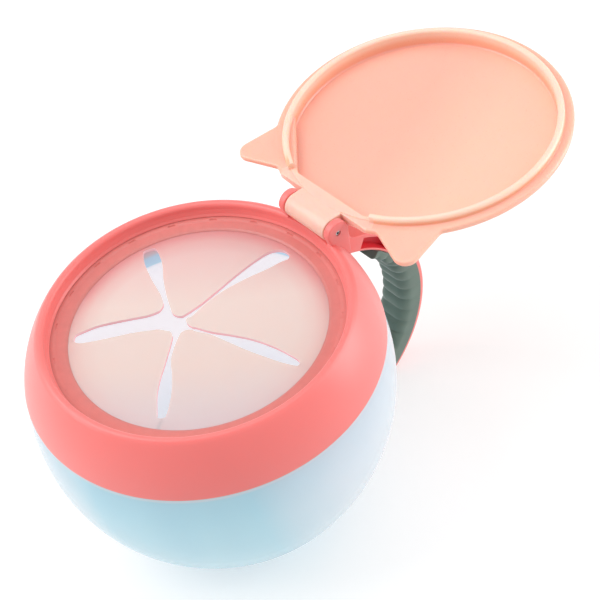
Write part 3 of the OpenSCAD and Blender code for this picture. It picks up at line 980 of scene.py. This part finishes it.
        def lay_open(x, y, z):
            dy, dz = y - HINGE_Y, z - HINGE_Z
            return x, HINGE_Y + dy * c - dz * s, HINGE_Z + dy * s + dz * c

        move_points(obj, lay_open)
        smooth(obj, 38)
        return {"FINISHED"}


class AddFlapFrame(bpy.types.Operator):
    """Adds the coral ring that holds the flap, with its row of key pockets"""

    bl_idname = "snack_cup.add_flap_frame"
    bl_label = "Flap ring"

    def execute(self, context):
        lip_r, step_r, low_r, out_r = 34.2, 36.5, 35.25, 42.0
        profile = rounded([
            (lip_r, 69.0, 0), (34.25, 69.1, 0.03), (34.9, 69.42, 0.4), (37.2, 69.7, 0.8), (38.0, 69.98, 0.4),
            (38.96, 70.04, 0.1), (38.96, 68.35, 0), (out_r, 68.35, 0), (out_r, 67.4, 0), (low_r, 67.4, 0),
            (low_r, 68.05, 0), (step_r, 68.05, 0), (step_r, 69.0, 0), (lip_r, 69.0, 0),
        ], 4, closed=False)
        obj = lathe("flap_ring_coral", profile)
        outline = rounded([(37.2, -1.1, 0.3), (38.0, -1.1, 0.3), (38.0, 1.1, 0.3), (37.2, 1.1, 0.3)], 3)
        count = 20
        keys = [slab("key", turned(outline, (k + 0.5) * 360 / count), 69.77, 71) for k in range(count)]
        only(keys[0])
        for key in keys[1:]:
            key.select_set(True)
        bpy.ops.object.join()
        combine(obj, [keys[0]], "DIFFERENCE")
        smooth(obj, 40)
        finish_piece(obj, "flap_insert", ["flap_frame"], [frame_plastic()])
        return {"FINISHED"}


# The slits as seen from above, in mm: from the rim inwards, left bank then right bank,
# looking from the rim to the middle.  Each bank ends at its petal's tip.
BANKS = {
    0: (
        [(-1.1, 32.5), (0.0, 31.3), (-0.8, 29.1), (-1.8, 24.9),
         (-3.6, 19.1), (-5.0, 12.4), (-5.2, 6.3), (-4.5, 1.2)],
        [(-1.1, 32.5), (-3.4, 32.3), (-5.5, 30.4), (-6.5, 26.7),
         (-6.7, 20.0), (-6.3, 12.0), (-6.0, 5.5), (-6.2, 0.8)],
    ),
    1: (
        [(-32.1, 7.8), (-31.0, 9.2), (-28.5, 8.6), (-24.7, 6.8),
         (-20.2, 3.7), (-15.2, 0.9), (-12.2, -0.5), (-9.9, -1.5)],
        [(-32.1, 7.8), (-32.5, 6.2), (-30.9, 4.9), (-28.1, 3.5),
         (-22.3, 1.5), (-16.9, 0.1), (-14.9, -0.7), (-13.3, -1.6)],
    ),
    2: (
        [(-19.9, -26.0), (-21.2, -24.6), (-20.9, -22.3), (-19.9, -18.7),
         (-18.1, -15.1), (-15.4, -10.5), (-13.2, -6.8), (-12.3, -4.0)],
        [(-19.9, -26.0), (-18.4, -25.5), (-16.4, -22.7), (-13.9, -18.3),
         (-11.2, -13.4), (-8.6, -9.6), (-7.1, -7.7), (-5.8, -6.9)],
    ),
    3: (
        [(17.7, -25.1), (16.6, -25.7), (14.3, -24.2), (10.4, -21.3),
         (7.1, -18.0), (3.5, -13.7), (0.0, -9.6), (-2.2, -7.1)],
        [(17.7, -25.1), (17.7, -24.0), (15.3, -21.1), (12.3, -18.2),
         (7.9, -14.8), (3.8, -12.1), (0.9, -8.9), (-1.3, -5.8)],
    ),
    4: (
        [(29.9, 8.9), (29.5, 8.1), (25.6, 6.4), (20.7, 4.8),
         (15.6, 3.3), (10.1, 2.0), (4.4, 0.6), (0.1, -1.5)],
        [(29.9, 8.9), (28.9, 9.7), (26.1, 9.6), (20.6, 8.7),
         (14.3, 6.8), (8.5, 4.0), (3.9, 1.4), (-0.5, -0.4)],
    ),
}

# The petals' round tips, from the end of their right bank to the end of their left bank.
TIPS = {
    0: [(-6.6, -0.9), (-8.4, -1.8)],
    1: [(-12.6, -2.7)],
    2: [(-4.5, -6.1), (-3.0, -6.5)],
    3: [(-2.1, -4.2), (-1.7, -2.6), (-0.6, -1.5)],
    4: [(-0.9, -0.8), (-2.8, -1.3), (-4.4, -0.9), (-5.0, 0.1)],
}


def through(points, n):
    """A smooth line of n + 1 evenly spaced points through the given ones."""
    dense = []
    count = len(points)
    for i in range(count - 1):
        p0, p1 = Vector(points[max(i - 1, 0)]), Vector(points[i])
        p2, p3 = Vector(points[i + 1]), Vector(points[min(i + 2, count - 1)])
        for k in range(12):
            t = k / 12
            dense.append(0.5 * (2 * p1 + (p2 - p0) * t + (2 * p0 - 5 * p1 + 4 * p2 - p3) * t * t
                                + (3 * p1 - p0 - 3 * p2 + p3) * t ** 3))
    dense.append(Vector(points[-1]))
    run = [0.0]
    for a, b in zip(dense, dense[1:]):
        run.append(run[-1] + (b - a).length)
    out, j = [], 0
    for i in range(n + 1):
        want = run[-1] * i / n
        while j < len(run) - 2 and run[j + 1] < want:
            j += 1
        t = (want - run[j]) / max(run[j + 1] - run[j], 1e-9)
        out.append(dense[j].lerp(dense[j + 1], min(1.0, t)))
    return out


class AddFlap(bpy.types.Operator):
    """Adds the soft flap as five petals that run out into its rim"""

    bl_idname = "snack_cup.add_flap"
    bl_label = "Flap"

    def execute(self, context):
        sag = context.scene.cup_sizes.sag / MM
        skin, cut = flap_skin(), flap_cut()
        thick, out_r, half = 0.85, 36.2, 3
        # the grid is set a little off the middle, so that its lines meet no corner of an outline
        grid, off = 77.7 * MM, (0.013 * MM, 0.017 * MM, FLAP_TOP * MM)

        def hang(x, y, z):
            d = max(0.0, (33.0 - math.hypot(x, y)) / 33.0)
            return x, y, z - sag * (1.15 * d - 0.15 * d * d)

        for k in range(SLITS):
            # petal k lies between slit k (its right bank) and slit k + 1 (its left bank)
            right, left = BANKS[k][1], BANKS[(k + 1) % SLITS][0]
            edge = [tuple(p) for p in through(right + TIPS[k] + left[::-1], 150)]
            a_right = math.degrees(math.atan2(edge[0][1], edge[0][0]))
            a_left = math.degrees(math.atan2(edge[-1][1], edge[-1][0]))
            if a_left < a_right:
                a_left += 360
            outline = edge + arc(0, 0, out_r, a_left, a_right, 48)
            prism = slab("petal_outline", outline, FLAP_TOP - half, FLAP_TOP + half)
            only()
            bpy.ops.mesh.primitive_grid_add(x_subdivisions=61, y_subdivisions=61, size=grid, location=off)
            obj = bpy.context.object
            obj.name = obj.data.name = f"flap_petal_{k + 1}"
            bpy.ops.object.transform_apply(location=True, rotation=False, scale=False)
            modifier(obj, "SOLIDIFY", thickness=thick * MM, offset=-1.0)
            combine(obj, [prism], "INTERSECT")
            obj.data.materials.append(skin)
            obj.data.materials.append(cut)
            for face in obj.data.polygons:
                face.material_index = 1 if abs(face.normal.z) < 0.5 else 0
            move_points(obj, hang)
            smooth(obj, 50)
            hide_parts(*([f"petal_{k + 1}"] + (["flap_ring"] if k == 0 else [])))
            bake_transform(obj)
        return {"FINISHED"}


class AddStudio(bpy.types.Operator):
    """Adds the floor, the soft lights and the camera"""

    bl_idname = "snack_cup.add_studio"
    bl_label = "Studio"

    def execute(self, context):
        only()
        bpy.ops.mesh.primitive_plane_add(size=8, location=(0, 0, -0.0002))
        floor = bpy.context.object
        floor.name = "floor"
        floor.data.materials.append(white_paper())

        world = bpy.data.worlds.new("soft_room")
        context.scene.world = world
        world.use_nodes = True
        world.node_tree.nodes["Background"].inputs["Color"].default_value = (1, 1, 1, 1)
        world.node_tree.nodes["Background"].inputs["Strength"].default_value = 0.55

        right, up, back = CAMERA_RIGHT, CAMERA_UP, CAMERA_BACK
        middle = Vector((0, 0.02, 0.05))

        def soft_light(name, offset, size, power):
            data = bpy.data.lights.new(name, "AREA")
            data.shape = "RECTANGLE"
            data.size, data.size_y = size
            data.energy = power
            lamp = bpy.data.objects.new(name, data)
            context.scene.collection.objects.link(lamp)
            lamp.location = middle + offset
            lamp.rotation_euler = (middle - lamp.location).to_track_quat("-Z", "Y").to_euler()

        soft_light("left_box", up * 0.28 + back * 0.30 - right * 0.55, (0.5, 0.6), 2.9)
        soft_light("right_box", up * 0.26 + back * 0.12 + right * 0.62, (0.35, 0.6), 3.0)
        soft_light("top_box", Vector((0, 0, 0.9)), (0.8, 0.8), 2.2)

        data = bpy.data.cameras.new("camera")
        data.sensor_width = 36
        data.lens = CAMERA_LENS
        data.clip_start, data.clip_end = 0.01, 50
        camera = bpy.data.objects.new("camera", data)
        context.scene.collection.objects.link(camera)
        turn = Matrix((right, up, back)).transposed().to_4x4()
        camera.matrix_world = Matrix.Translation(CAMERA_PLACE * MM) @ turn
        context.scene.camera = camera
        context.scene.view_settings.view_transform = "Standard"
        return {"FINISHED"}


# ---------------------------------------------------------------- panel and registration


PIECES = (AddBowl, AddCollar, AddHandleFrame, AddGrip, AddHingePin, AddLid, AddFlapFrame, AddFlap, AddStudio)


class SnackCupPanel(bpy.types.Panel):
    bl_label = "Snack container"
    bl_idname = "VIEW3D_PT_snack_cup"
    bl_space_type = "VIEW_3D"
    bl_region_type = "UI"
    bl_category = "Snack container"

    def draw(self, context):
        layout = self.layout
        for group in (context.scene.cup_sizes, context.scene.cup_colours):
            column = layout.column()
            for name in group.__annotations__:
                column.prop(group, name)
        for piece in PIECES:
            layout.operator(piece.bl_idname)


CLASSES = (SnackCupSizes, SnackCupColours, *PIECES, SnackCupPanel)


def register():
    for c in CLASSES:
        bpy.utils.register_class(c)
    bpy.types.Scene.cup_sizes = bpy.props.PointerProperty(type=SnackCupSizes)
    bpy.types.Scene.cup_colours = bpy.props.PointerProperty(type=SnackCupColours)


def unregister():
    del bpy.types.Scene.cup_colours
    del bpy.types.Scene.cup_sizes
    for c in reversed(CLASSES):
        bpy.utils.unregister_class(c)


def main():
    register()
    bpy.ops.snack_cup.add_bowl()
    bpy.ops.snack_cup.add_collar()
    bpy.ops.snack_cup.add_handle_frame()
    bpy.ops.snack_cup.add_grip()
    bpy.ops.snack_cup.add_hinge_pin()
    bpy.ops.snack_cup.add_lid()
    bpy.ops.snack_cup.add_flap_frame()
    bpy.ops.snack_cup.add_flap()
    bpy.ops.snack_cup.add_studio()


if __name__ == "__main__":
    main()
